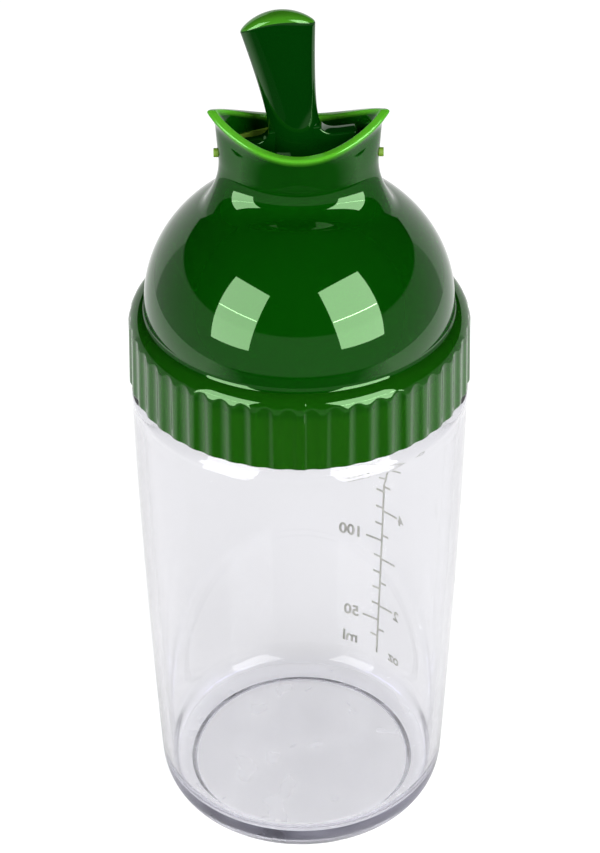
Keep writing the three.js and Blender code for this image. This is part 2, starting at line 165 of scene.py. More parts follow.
def mesh_piece(name, vertices, faces, material, body, sharp_angle=40, painted_glow=None):
    """A smooth-shaded object from vertices in millimetres, with how much painted glow lightens its
    colour at each one.
    """
    mesh = bpy.data.meshes.new(name)
    mesh.from_pydata([tuple(v) for v in np.asarray(vertices) * MM], [], faces)
    if painted_glow is not None:
        attribute = mesh.attributes.new("painted_glow", "FLOAT", "POINT")
        attribute.data.foreach_set("value", np.asarray(painted_glow, dtype=np.float32))
    work = bmesh.new()
    work.from_mesh(mesh)
    bmesh.ops.remove_doubles(work, verts=work.verts, dist=1e-7)
    bmesh.ops.recalc_face_normals(work, faces=work.faces)
    work.to_mesh(mesh)
    work.free()
    mesh.materials.append(material)
    mesh.polygons.foreach_set("use_smooth", [True] * len(mesh.polygons))
    mesh.set_sharp_from_angle(angle=math.radians(sharp_angle))
    piece = bpy.data.objects.new(name, mesh)
    bpy.context.collection.objects.link(piece)
    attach(piece, body)
    return piece


def grid_faces(rows, columns, close_rows):
    """Quads of a grid that closes round its columns, and round its rows if asked."""
    faces = []
    for i in range(rows if close_rows else rows - 1):
        low, high = i * columns, ((i + 1) % rows) * columns
        for j in range(columns):
            k = (j + 1) % columns
            faces.append((low + j, low + k, high + k, high + j))
    return faces


def arc(centre, radius, start, end, steps):
    """Points on a circular arc, from one angle to another in degrees."""
    angles = [math.radians(start + (end - start) * i / steps) for i in range(steps + 1)]
    return [(centre[0] + radius * math.cos(a), centre[1] + radius * math.sin(a)) for a in angles]


def bezier(points, steps):
    """Points on a Bezier curve of any degree."""
    out = []
    degree = len(points) - 1
    for i in range(steps + 1):
        t = i / steps
        weights = [math.comb(degree, k) * t ** k * (1 - t) ** (degree - k) for k in range(degree + 1)]
        out.append(tuple(sum(w * p[axis] for w, p in zip(weights, points)) for axis in (0, 1)))
    return out


def soft_min(a, b, softness):
    """The lower of two values, with the crease between them rounded."""
    near = np.maximum(softness - np.abs(a - b), 0) / softness
    return np.minimum(a, b) - near * near * softness / 4


# Bottle

def body_radius(z):
    """The bottle's outer radius at a height on its tapering body."""
    down = max(0.0, (BODY_HEIGHT - z) / (BODY_HEIGHT - HEEL_TOP))
    return BODY_RADIUS - (BODY_RADIUS - HEEL_RADIUS) * down ** BODY_CURVE_POWER


def thread_relief(angle, z, middle_z):
    """How far the screw ridges stand out, for arrays of angle and one height."""
    relief = np.zeros_like(angle)
    for start in range(THREAD_STARTS):
        turned = np.mod(angle - start * 2 * math.pi / THREAD_STARTS, 2 * math.pi)
        along = turned / THREAD_SWEEP
        fade = np.clip(np.minimum(along, 1 - along) / THREAD_RUN_IN, 0, 1)
        away = np.abs(z - middle_z - THREAD_LEAD * turned / (2 * math.pi))
        slope = (THREAD_ROOT_HEIGHT / 2 - away) / (THREAD_ROOT_HEIGHT / 2 - THREAD_CREST_HEIGHT / 2)
        relief = np.maximum(relief, THREAD_DEPTH * np.clip(slope, 0, 1) * fade)
    return relief


def bottle_profile():
    """Radius and height pairs from the middle of the foot, outside, and back down inside."""
    foot_outer = FOOT_RING_INNER + FOOT_RING_WIDTH
    neck_inner = NECK_OUTER - NECK_WALL
    inner_z = SHOULDER_TOP - INNER_SHOULDER_RISE
    inner_radius = body_radius(inner_z) - BOTTLE_WALL
    floor_z = BASE_THICKNESS + INNER_HEEL_ROUND
    profile = [(0.0, FOOT_RECESS), (8.0, FOOT_RECESS), (16.0, FOOT_RECESS)]
    profile += bezier([(FOOT_RING_INNER - 0.4, FOOT_RECESS), (FOOT_RING_INNER + 0.7, FOOT_RECESS),
                       (FOOT_RING_INNER + 0.8, 0), (FOOT_RING_INNER + 1.6, 0)], 14)
    profile += bezier([(foot_outer, 0), (HEEL_RADIUS - 0.4, 0.4), (HEEL_RADIUS, HEEL_TOP)], 20)
    wall_steps = 36
    for i in range(1, wall_steps):
        z = HEEL_TOP + (BODY_HEIGHT - HEEL_TOP) * i / wall_steps
        profile.append((body_radius(z), z))
    profile += arc((BODY_RADIUS - SHOULDER_ROUND, BODY_HEIGHT), SHOULDER_ROUND, 0, 90, 14)
    profile += [(NECK_OUTER + 0.2, SHOULDER_TOP), (NECK_OUTER, SHOULDER_TOP + 0.2)]
    neck_steps = 44
    straight = NECK_HEIGHT - NECK_EDGE_ROUND - 0.2
    for i in range(1, neck_steps):
        profile.append((NECK_OUTER, SHOULDER_TOP + 0.2 + straight * i / neck_steps))
    edge_z = NECK_TOP - NECK_EDGE_ROUND
    profile += arc((NECK_OUTER - NECK_EDGE_ROUND, edge_z), NECK_EDGE_ROUND, 0, 90, 6)
    profile += arc((neck_inner + NECK_EDGE_ROUND, edge_z), NECK_EDGE_ROUND, 90, 180, 6)
    bend = INNER_SHOULDER_RISE / 3
    profile += bezier([(neck_inner, SHOULDER_TOP), (neck_inner, SHOULDER_TOP - bend),
                       (inner_radius, SHOULDER_TOP - bend), (inner_radius, inner_z)], 16)
    for i in range(wall_steps - 1, 0, -1):
        z = floor_z + (inner_z - floor_z) * i / wall_steps
        profile.append((body_radius(z) - BOTTLE_WALL, z))
    floor_radius = body_radius(floor_z) - BOTTLE_WALL
    profile += arc((floor_radius - INNER_HEEL_ROUND, floor_z), INNER_HEEL_ROUND, 0, -90, 14)
    profile += [(16.0, BASE_THICKNESS), (8.0, BASE_THICKNESS), (0.0, BASE_THICKNESS)]
    return profile


def make_bottle(material):
    columns = 240
    angle = np.linspace(0, 2 * math.pi, columns, endpoint=False)
    middle_z = SKIRT_BOTTOM + LID_THREAD_LIFT + THREAD_LEAD / THREAD_STARTS / 2
    rows = []
    for radius, z in bottle_profile():
        r = np.full(columns, radius)
        if radius == NECK_OUTER:
            r = r + thread_relief(angle, z, middle_z)
        rows.append(np.stack([r * np.cos(angle), r * np.sin(angle), np.full(columns, z)], 1))
    vertices = np.concatenate(rows)
    faces = grid_faces(len(rows), columns, False)
    piece = mesh_piece("clear_bottle", vertices, faces, material, "bottle_body")
    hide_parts("bottle")
    return piece


# Lid: two sections, through the lips and through the front, blended around

def row(side, front, side_z, front_z, point=1.0, zone="", glow=0.0):
    """One ring of the lid: half sizes and heights through the lips and through the front."""
    return dict(side=side, front=front, side_z=side_z, front_z=front_z,
                point=point, zone=zone, glow=glow)


def ring_rows(points, zone="", glow=0.0):
    return [row(r, r, z, z, zone=zone, glow=glow) for r, z in points]


def dome_z(radius, inset):
    """Height of the dome at a radius, on its outside or inset by the wall."""
    share = min(1.0, radius / (DOME_RADIUS - inset))
    return DOME_CENTRE + (DOME_RISE - inset) * math.sqrt(1 - share * share)


def dome_rows(inset, end, steps):
    radius = DOME_RADIUS - inset
    rows = []
    for i in range(steps + 1):
        side, front = (radius * math.cos(math.acos(limit / radius) * i / steps) for limit in end)
        rows.append(row(side, front, dome_z(side, inset), dome_z(front, inset)))
    return rows


def neck_rows(inset, root, fillet_steps, wall_steps):
    waist = [half - inset for half in WAIST]
    side = bezier([(root[0], dome_z(root[0], inset)), (waist[0] + 0.6, WAIST_Z - 5),
                   (waist[0], WAIST_Z - 3), (waist[0], WAIST_Z)], fillet_steps)
    front = bezier([(root[1], dome_z(root[1], inset)), (waist[1] + 0.7, FRONT_WAIST_Z - 4.0),
                    (waist[1], FRONT_WAIST_Z - 2.9), (waist[1], FRONT_WAIST_Z)], fillet_steps)
    rows = [row(a[0], b[0], a[1], b[1]) for a, b in zip(side[1:], front[1:])]
    for i in range(1, wall_steps + 1):
        rise = i / wall_steps
        side_z = WAIST_Z + (LIP_Z - RIM_ROUND - WAIST_Z) * rise
        front_z = FRONT_WAIST_Z + (DIP_Z - RIM_ROUND - FRONT_WAIST_Z) * rise
        flare = max(0.0, 1 - (LIP_Z - side_z) / LIP_FLARE_HEIGHT) ** 1.5
        swell = 0.6 * rise * (1 - flare)
        length = WAIST[0] + swell + (LIP[0] - WAIST[0]) * flare - inset
        width = WAIST[1] + (LIP[1] - WAIST[1]) * rise - inset
        point = 1 + (LIP_POINT - 1) * rise ** 1.5
        # Painted light through the thin rim: the top tenth of the neck wall is lightened towards lime,
        # up to RIM_FLANK_GLOW
        glow = min(RIM_FLANK_GLOW, max(0.0, rise - 0.9) * 12)
        rows.append(row(length, width, side_z, front_z, point, glow=glow))
    return rows


def lid_rows():
    """Rings of the whole lid: up the collar, dome and neck, over the rim and back down inside."""
    shoulder = (COLLAR_RADIUS - COLLAR_TAPER - COLLAR_SHOULDER_ROUND,
                COLLAR_TOP - COLLAR_SHOULDER_ROUND)
    root = [half + fillet for half, fillet in zip(WAIST, NECK_FILLET)]
    inner_root = [half - SPOUT_WALL for half in root]
    edge = SKIRT_EDGE_ROUND
    low = SKIRT_BOTTOM + edge
    # Painted light on the collar: its colour is lightened by COLLAR_GLOW, half as much on its shoulder
    rows = ring_rows(arc((SKIRT_BORE + edge, low), edge, 180, 270, 4), glow=COLLAR_GLOW)
    rows += ring_rows(arc((COLLAR_RADIUS - edge, low), edge, 270, 360, 4), "flute", COLLAR_GLOW)
    side_steps = 12
    for i in range(1, side_steps):
        up = i / side_steps
        point = (COLLAR_RADIUS - COLLAR_TAPER * up, low + (shoulder[1] - low) * up)
        rows += ring_rows([point], "flute", COLLAR_GLOW)
    rows += ring_rows(arc(shoulder, COLLAR_SHOULDER_ROUND, 0, 90, 26), "flute", COLLAR_GLOW / 2)
    rows += ring_rows([(DOME_RADIUS + 0.25, COLLAR_TOP), (DOME_RADIUS, COLLAR_TOP + 0.3)])
    rows += dome_rows(0.0, root, 26)
    rows += neck_rows(0.0, root, 12, 14)
    top = rows[-1]
    rim = arc((RIM_ROUND, 0), RIM_ROUND, 180, 90, 4)
    rim += arc((SPOUT_WALL - RIM_ROUND, 0), RIM_ROUND, 90, 0, 4)
    # Painted light through the thin plastic: the rim is lightened fully to lime by RIM_GLOW
    for inset, rise in rim:
        rows.append(row(top["side"] - inset, top["front"] - inset, LIP_Z - RIM_ROUND + rise,
                        DIP_Z - RIM_ROUND + rise, LIP_POINT, glow=RIM_GLOW))
    rows += neck_rows(SPOUT_WALL, inner_root, 8, 10)[::-1]
    rows += dome_rows(DOME_WALL, inner_root, 12)[::-1]
    rows += ring_rows([(DOME_RADIUS - DOME_WALL, LEDGE_Z), (SKIRT_BORE, LEDGE_Z)])
    bore_steps = 24
    for i in range(bore_steps - 1, 0, -1):
        z = low + (LEDGE_Z - low) * i / bore_steps
        rows += ring_rows([(SKIRT_BORE, z)], "thread")
    return rows


def flute_radius(angle, z):
    """Radius of the concave flutes at each angle, at a height on the collar."""
    pitch = 2 * math.pi / FLUTE_COUNT
    half_chord = math.pi * COLLAR_RADIUS / FLUTE_COUNT - FLUTE_LAND / 2
    cutter = (half_chord ** 2 + FLUTE_DEPTH ** 2) / (2 * FLUTE_DEPTH)
    centre = COLLAR_RADIUS - FLUTE_DEPTH + cutter
    local = np.mod(angle, pitch) - pitch / 2
    reach = np.maximum(cutter ** 2 - (centre * np.sin(local)) ** 2, 0)
    radius = np.where(reach > 0, centre * np.cos(local) - np.sqrt(reach), COLLAR_RADIUS + 1)
    return radius - COLLAR_TAPER * (z - SKIRT_BOTTOM - COLLAR_HEIGHT / 2) / COLLAR_HEIGHT


def make_lid(material):
    columns = FLUTE_COUNT * 12
    angle = np.linspace(0, 2 * math.pi, columns, endpoint=False)
    cos, sin = np.cos(angle), np.sin(angle)
    seam = np.abs(angle - 2 * math.pi - SEAM_ANGLE) < math.pi / columns
    vertices, glow = [], []
    rows = lid_rows()
    for at in rows:
        side_rise, front_rise = at["side_z"] - DOME_CENTRE, at["front_z"] - DOME_CENTRE
        if side_rise > 0 and front_rise > 0:
            z = DOME_CENTRE + np.sqrt(side_rise ** 2 * cos ** 2 + front_rise ** 2 * sin ** 2)
        else:
            z = at["side_z"] * cos ** 2 + at["front_z"] * sin ** 2
        x = at["side"] * cos
        y = at["front"] * np.sign(sin) * np.abs(sin) ** at["point"]
        if at["zone"] == "flute":
            radius = soft_min(np.full(columns, at["side"]), flute_radius(angle, at["side_z"]),
                              EDGE_SOFTNESS)
            radius = radius + np.where(seam, SEAM_PROUD, 0)
            x, y = radius * cos, radius * sin
        if at["zone"] == "thread":
            radius = at["side"] - thread_relief(angle, at["side_z"], SKIRT_BOTTOM + LID_THREAD_LIFT)
            x, y = radius * cos, radius * sin
        vertices.append(np.stack([x, y, z], 1))
        glow.append(np.full(columns, at["glow"]))
    piece = mesh_piece("green_lid", np.concatenate(vertices), grid_faces(len(rows), columns, True),
                       material, "lid_body", 50, np.concatenate(glow))
    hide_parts("lid")
    return piece


# Lever

def tilt_lever(vertices):
    """Leans the upright lever about its pivot and lifts it into the neck."""
    lean = np.array(Matrix.Rotation(LEVER_LEAN, 3, "Y"))
    return np.asarray(vertices) @ lean.T + np.array([0, 0, PIVOT_Z])


def lever_half_size(height):
    """Half width and half thickness of the lever's stem at a height above the pivot."""
    cap_base = LEVER_LENGTH - LEVER_CAP_ARCH - LEVER_CAP_ROUND
    down = max(0.0, (LEVER_WAIST_HEIGHT - height) / LEVER_WAIST_HEIGHT) ** 2
    up = min(1.0, max(0.0, (height - LEVER_WAIST_HEIGHT) / (cap_base - LEVER_WAIST_HEIGHT))) ** 1.35
    width = LEVER_WAIST[0] + (LEVER_FOOT[0] - LEVER_WAIST[0]) * down
    width += (LEVER_CAP_HALF_WIDTH - LEVER_WAIST[0]) * up
    return width, LEVER_WAIST[1] + (LEVER_FOOT[1] - LEVER_WAIST[1]) * down


def make_lever_stem(material):
    columns, stem_steps, cap_steps = 128, 60, 22
    angle = np.linspace(0, 2 * math.pi, columns, endpoint=False)
    cap_base = LEVER_LENGTH - LEVER_CAP_ARCH - LEVER_CAP_PILLOW
    rounded = [(1.0, cap_base * i / stem_steps) for i in range(stem_steps)]
    for i in range(cap_steps + 1):
        share = math.cos(math.pi / 2 * i / cap_steps)
        rounded.append((share, cap_base + LEVER_CAP_PILLOW * math.sqrt(max(0.0, 1 - share ** 3.5))))
    rows, painted_glow = [], []
    for share, z in rounded:
        width, thickness = lever_half_size(z)
        near_cap = max(0.0, (z - LEVER_WAIST_HEIGHT)
                       / (LEVER_LENGTH - LEVER_CAP_ARCH - LEVER_WAIST_HEIGHT))
        x = share * np.cos(angle)
        arch = LEVER_CAP_ARCH * (1 - x * x) * near_cap ** 3
        rows.append(np.stack([x * width, share * np.sin(angle) * thickness, z + arch], 1))
        # Painted light on the cap top: rows above the cap's base are lightened by CAP_GLOW
        painted_glow.append(np.full(columns, CAP_GLOW if z > cap_base + 0.2 else 0.0))
    vertices = tilt_lever(np.concatenate(rows))
    faces = grid_faces(len(rows), columns, False) + [tuple(range(columns))[::-1]]
    return mesh_piece("lever_stem", vertices, faces, material, "lever_body", 50,
                      np.concatenate(painted_glow))


def extruded_outline(outline, half_thickness, round_radius):
    """A prism along Y from an outline in X and Z, its two faces set in by a rounded edge."""
    outline = np.array(outline)
    count = len(outline)
    ahead = np.roll(outline, -1, 0) - outline
    behind = outline - np.roll(outline, 1, 0)
    normal = np.stack([ahead[:, 1] + behind[:, 1], -ahead[:, 0] - behind[:, 0]], 1)
    normal /= np.linalg.norm(normal, axis=1)[:, None] + 1e-9
    rows = []
    for inset, y in arc((0, 0), round_radius, 0, 90, 4)[::-1]:
        shrunk = outline - normal * (round_radius - inset)
        rows.append((shrunk, -(half_thickness - round_radius + y)))
    rows += [(shrunk, -y) for shrunk, y in rows[::-1]]
    vertices = [np.stack([flat[:, 0], np.full(count, y), flat[:, 1]], 1) for flat, y in rows]
    faces = grid_faces(len(rows), count, False)
    last = (len(rows) - 1) * count
    faces += [tuple(range(count))[::-1], tuple(range(last, last + count))]
    return np.concatenate(vertices), faces


def make_lever_rib(material):
    half, top = PLATE_THICKNESS / 2, PLATE_THICKNESS / 2 + RIB_HEIGHT
    end = PLATE_HALF[0] - RIB_SETBACK
    foot, waist = LEVER_FOOT[0], LEVER_WAIST[0]
    fillet = bezier([(foot + RIB_HEIGHT, top), (foot - 0.6, top), (waist, top + RIB_HEIGHT)], 10)
    right = [(end, 0.2)] + bezier([(end, top - 0.6), (end, top), (end - 0.6, top)], 6) + fillet
    outline = right + [(-x, z) for x, z in right[::-1]]
    vertices, faces = extruded_outline(outline, RIB_THICKNESS / 2, 0.35)
    return mesh_piece("lever_rib", tilt_lever(vertices), faces, material, "lever_body")


def make_lever_plate(material):
    columns = 160
    angle = np.linspace(0, 2 * math.pi, columns, endpoint=False)
    half = PLATE_THICKNESS / 2
    profile = [(0.0, -half)]
    profile += [(r - PLATE_ROUND, z) for r, z in arc((0, PLATE_ROUND - half), PLATE_ROUND, -90, 0, 5)]
    profile += [(r - PLATE_ROUND, z) for r, z in arc((0, half - PLATE_ROUND), PLATE_ROUND, 0, 90, 5)]
    rows = [np.tile([0.0, 0.0, -half], (columns, 1))]
    for inset, z in profile[1:]:
        rows.append(np.stack([(PLATE_HALF[0] + inset) * np.cos(angle),
                              (PLATE_HALF[1] + inset) * np.sin(angle), np.full(columns, z)], 1))
    rows.append(np.tile([0.0, 0.0, half], (columns, 1)))
    vertices = tilt_lever(np.concatenate(rows))
    faces = grid_faces(len(rows), columns, False)
    return mesh_piece("stopper_plate", vertices, faces, material, "lever_body")


# Printed measure on the bottle's outer wall, readable from outside

SCALE_AZIMUTH = 36.4  # degrees from the back towards the right
SCALE_PER_ML = 0.41
SCALE_FIFTY_Z = 17.8
PRINT_LIFT = 0.05
PRINT_BOLDNESS = 0.12
PRINT_LINE = 0.5
ML_PER_OZ = 29.57


def wrap_print(mesh):
    """Bends a flat print in the XY plane, in millimetres, round the bottle."""
    for vertex in mesh.vertices:
        x, z = vertex.co.x, vertex.co.y
        radius = body_radius(z) + PRINT_LIFT
        azimuth = math.radians(SCALE_AZIMUTH) - x / radius
        vertex.co = Vector((radius * math.sin(azimuth), radius * math.cos(azimuth), z)) * MM


def print_bar(work, x0, x1, z0, z1):
    """A printed bar, cut into short lengths so that it bends round the wall."""
    steps = max(1, int(max(abs(x1 - x0), abs(z1 - z0)) / 0.8))
    along_x = abs(x1 - x0) > abs(z1 - z0)
    for i in range(steps):
        a, b = i / steps, (i + 1) / steps
        if along_x:
            corners = [(x0 + (x1 - x0) * a, z0), (x0 + (x1 - x0) * b, z0),
                       (x0 + (x1 - x0) * b, z1), (x0 + (x1 - x0) * a, z1)]
        else:
            corners = [(x0, z0 + (z1 - z0) * a), (x1, z0 + (z1 - z0) * a),
                       (x1, z0 + (z1 - z0) * b), (x0, z0 + (z1 - z0) * b)]
        work.faces.new([work.verts.new((x, z, 0)) for x, z in corners])


def printed_text(words, x, z, size, align):
    """Plain lettering as a flat mesh, in millimetres."""
    curve = bpy.data.curves.new("lettering", "FONT")
    curve.body = words
    curve.size = size
    curve.align_x = align
    curve.align_y = "CENTER"
    curve.offset = PRINT_BOLDNESS
    holder = bpy.data.objects.new("lettering", curve)
    bpy.context.collection.objects.link(holder)
    depsgraph = bpy.context.evaluated_depsgraph_get()
    mesh = bpy.data.meshes.new_from_object(holder.evaluated_get(depsgraph))
    bpy.data.objects.remove(holder)
    mesh.transform(Matrix.Translation((x, z, 0)))
    return mesh


def scale_z(ml):
    return SCALE_FIFTY_Z + SCALE_PER_ML * (ml - 50)


def make_scale(material):
    line, low, high = PRINT_LINE, scale_z(29), scale_z(210)
    work = bmesh.new()
    print_bar(work, -line / 2, line / 2, low, high)
    for ml in range(40, 201, 10):
        reach = 4.1 if ml % 50 == 0 else 1.9
        print_bar(work, 0, reach, scale_z(ml) - line / 2, scale_z(ml) + line / 2)
    for half_oz in range(3, 14):
        reach = 3.9 if half_oz % 2 == 0 else 1.7
        z = scale_z(half_oz / 2 * ML_PER_OZ)
        print_bar(work, -reach, 0, z - line / 2, z + line / 2)
    lettering = [(str(ml), 5.0, scale_z(ml), 3.6, "LEFT") for ml in (50, 100, 150, 200)]
    lettering += [(str(oz), -4.2, scale_z(oz * ML_PER_OZ) - 0.4, 3.2, "RIGHT") for oz in (2, 4, 6)]
    lettering += [("ml", 5.0, scale_z(33), 3.8, "LEFT"), ("oz", -3.4, scale_z(31), 3.4, "RIGHT")]
    for words, x, z, size, align in lettering:
        flat = printed_text(words, x, z, size, align)
        work.from_mesh(flat)
        bpy.data.meshes.remove(flat)
    mesh = bpy.data.meshes.new("printed_measure")
    work.to_mesh(mesh)
    work.free()
    wrap_print(mesh)
    mesh.materials.append(material)
    piece = bpy.data.objects.new("printed_measure", mesh)
    bpy.context.collection.objects.link(piece)
    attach(piece, "bottle_body")
    return piece


# Materials

def linear(hex_colour):
    """An sRGB hex colour as linear red, green, blue and alpha."""
    channels = [int(hex_colour[i:i + 2], 16) / 255 for i in (1, 3, 5)]
    return [c / 12.92 if c <= 0.04045 else ((c + 0.055) / 1.055) ** 2.4 for c in channels] + [1.0]


def add_node(tree, kind, links=(), values=(), **settings):
    """A node with its incoming links, its socket values and its settings."""
    node = tree.nodes.new(kind)
    for key, value in settings.items():
        setattr(node, key, value)
    for socket, value in dict(values).items():
        node.inputs[socket].default_value = value
    for socket, source in dict(links).items():
        tree.links.new(source, node.inputs[socket])
    return node


def ramp(start, end, low, high):
    """Socket values of a map range."""
    return {"From Min": start, "From Max": end, "To Min": low, "To Max": high}


def new_material(name):
    material = bpy.data.materials.new(name)
    material.use_nodes = True
    tree = material.node_tree
    return material, tree, tree.nodes["Principled BSDF"]


def moulded_plastic(name, deep, thin, roughness, ripple_mm):
    """Glossy injection-moulded plastic. A per-vertex glow lightens its colour from deep towards thin:
    painted light, for light through the thin rim and light falling on the collar and the lever's cap.
    """
    material, tree, shader = new_material(name)
    place = add_node(tree, "ShaderNodeTexCoord").outputs["Object"]
    painted_glow = add_node(tree, "ShaderNodeAttribute", attribute_name="painted_glow")
    cloud = add_node(tree, "ShaderNodeTexNoise", {"Vector": place}, {"Scale": 60.0, "Detail": 2.0})
    # Painted light: the per-vertex glow mixes the colour from deep towards the lighter thin colour
    shade = add_node(tree, "ShaderNodeMix", {"Factor": painted_glow.outputs["Fac"]}, data_type="RGBA")
    shade.inputs["A"].default_value = linear(deep)
    shade.inputs["B"].default_value = linear(thin)
    drift = add_node(tree, "ShaderNodeMapRange", {"Value": cloud.outputs["Fac"]},
                     {"To Min": 0.94, "To Max": 1.06})
    tint = add_node(tree, "ShaderNodeHueSaturation",
                    {"Color": shade.outputs["Result"], "Value": drift.outputs["Result"]})
    tree.links.new(tint.outputs["Color"], shader.inputs["Base Color"])
    ripple = add_node(tree, "ShaderNodeTexNoise", {"Vector": place},
                      {"Scale": 1 / (ripple_mm * MM), "Detail": 1.0})
    bump = add_node(tree, "ShaderNodeBump", {"Height": ripple.outputs["Fac"]},
                    {"Strength": 0.03, "Distance": 0.0001})
    tree.links.new(bump.outputs["Normal"], shader.inputs["Normal"])
    shader.inputs["Roughness"].default_value = roughness
    shader.inputs["IOR"].default_value = 1.5
    shader.inputs["Specular Tint"].default_value = linear("#C5FFBA")
    return material


# Green polypropylene, polished in the mould: deep green, lightened to lime by painted light through
# the thin rim and by painted light on the collar
lid_plastic = moulded_plastic("green_polypropylene_polished", "#022A01", "#3A7A18", 0.03, 9)
lid_plastic_shader = lid_plastic.node_tree.nodes["Principled BSDF"]
lid_plastic_shader.inputs["Subsurface Weight"].default_value = 0.25
lid_plastic_shader.inputs["Subsurface Radius"].default_value = (0.4, 1.0, 0.2)
lid_plastic_shader.inputs["Subsurface Scale"].default_value = 0.0007

# The same polypropylene in the lever, thicker and so darker, with painted light on its cap top
lever_plastic = moulded_plastic("dark_green_polypropylene_polished", "#012002", "#3A7A18", 0.04, 7)


def clear_styrene():
    """Clear moulded styrene copolymer: glassy, with a faint lilac cast where it is thick.

    Its underside is lightly frosted, and the thick base is a little hazy.
    """
    material, tree, shader = new_material("clear_styrene_moulded")
    shader.inputs["Base Color"].default_value = linear("#FFFFFF")
    shader.inputs["Transmission Weight"].default_value = 1.0
    shader.inputs["Specular Tint"].default_value = linear("#BCBCBC")
    shader.inputs["IOR"].default_value = 1.5
    place = add_node(tree, "ShaderNodeTexCoord").outputs["Object"]
    haze = add_node(tree, "ShaderNodeTexNoise", {"Vector": place}, {"Scale": 120.0, "Detail": 2.0})
    height = add_node(tree, "ShaderNodeSeparateXYZ", {"Vector": place}).outputs["Z"]
    base_haze = add_node(tree, "ShaderNodeMapRange", {"Value": height},
                         ramp(7 * MM, 14 * MM, 0.12, 0.01))
    frosting = add_node(tree, "ShaderNodeMapRange", {"Value": height},
                        ramp(1.5 * MM, 2.2 * MM, 0.6, 0.0))
    both = add_node(tree, "ShaderNodeMath",
                    {0: base_haze.outputs["Result"], 1: frosting.outputs["Result"]}, operation="ADD")
    roughness = add_node(tree, "ShaderNodeMath", {0: haze.outputs["Fac"], 1: both.outputs[0]},
                         operation="MULTIPLY")
    tree.links.new(roughness.outputs[0], shader.inputs["Roughness"])
    absorb = add_node(tree, "ShaderNodeVolumeAbsorption",
                      values={"Color": linear("#D6D5EC"), "Density": 45.0})
    tree.links.new(absorb.outputs["Volume"], tree.nodes["Material Output"].inputs["Volume"])
    return material


def soft_rubber(name, colour):
    """Moulded silicone: matt, with a fine grain."""
    material, tree, shader = new_material(name)
    place = add_node(tree, "ShaderNodeTexCoord").outputs["Object"]
    grain = add_node(tree, "ShaderNodeTexNoise", {"Vector": place},
                     {"Scale": 1 / (0.4 * MM), "Detail": 2.0})
    bump = add_node(tree, "ShaderNodeBump", {"Height": grain.outputs["Fac"]},
                    {"Strength": 0.1, "Distance": 0.00005})
    tree.links.new(bump.outputs["Normal"], shader.inputs["Normal"])
    shader.inputs["Base Color"].default_value = linear(colour)
    shader.inputs["Roughness"].default_value = 0.5
    return material


def screen_ink():
    """Screen-printed ink: a thin pale grey-olive film, slightly uneven."""
    material, tree, shader = new_material("grey_screen_ink")
    place = add_node(tree, "ShaderNodeTexCoord").outputs["Object"]
    uneven = add_node(tree, "ShaderNodeTexNoise", {"Vector": place}, {"Scale": 900.0, "Detail": 2.0})
    shade = add_node(tree, "ShaderNodeMix", {"Factor": uneven.outputs["Fac"]}, data_type="RGBA")
    shade.inputs["A"].default_value = linear("#B4B4A6")
    shade.inputs["B"].default_value = linear("#CCCCC0")
    tree.links.new(shade.outputs["Result"], shader.inputs["Base Color"])
    shader.inputs["Roughness"].default_value = 0.6
    return material


make_bottle(clear_styrene())
make_lid(lid_plastic)
stem = make_lever_stem(lever_plastic)
rib = make_lever_rib(lever_plastic)
plate = make_lever_plate(lever_plastic)
for piece in (stem, rib, plate):
    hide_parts("lever")
make_scale(screen_ink())

for node, material in (("lid_gasket", soft_rubber("white_silicone", "#D9DDE0")),
                       ("seat_seal", soft_rubber("lime_silicone", "#5C7C1C"))):
    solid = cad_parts[node]
    for material_slot in solid.material_slots:
        material_slot.material = material


# Floor, light and camera

# Share of the floor's own glow, and how strong it is, for camera rays, rays through the bottle
# and mirrored rays. Mirrored rays take their strength from the place on the table.
CAMERA_GLOW = (0.5, 1.68)
BOTTLE_GLOW = (0.68, 1.0)
MIRRORED_GLOW_SHARE = 0.7


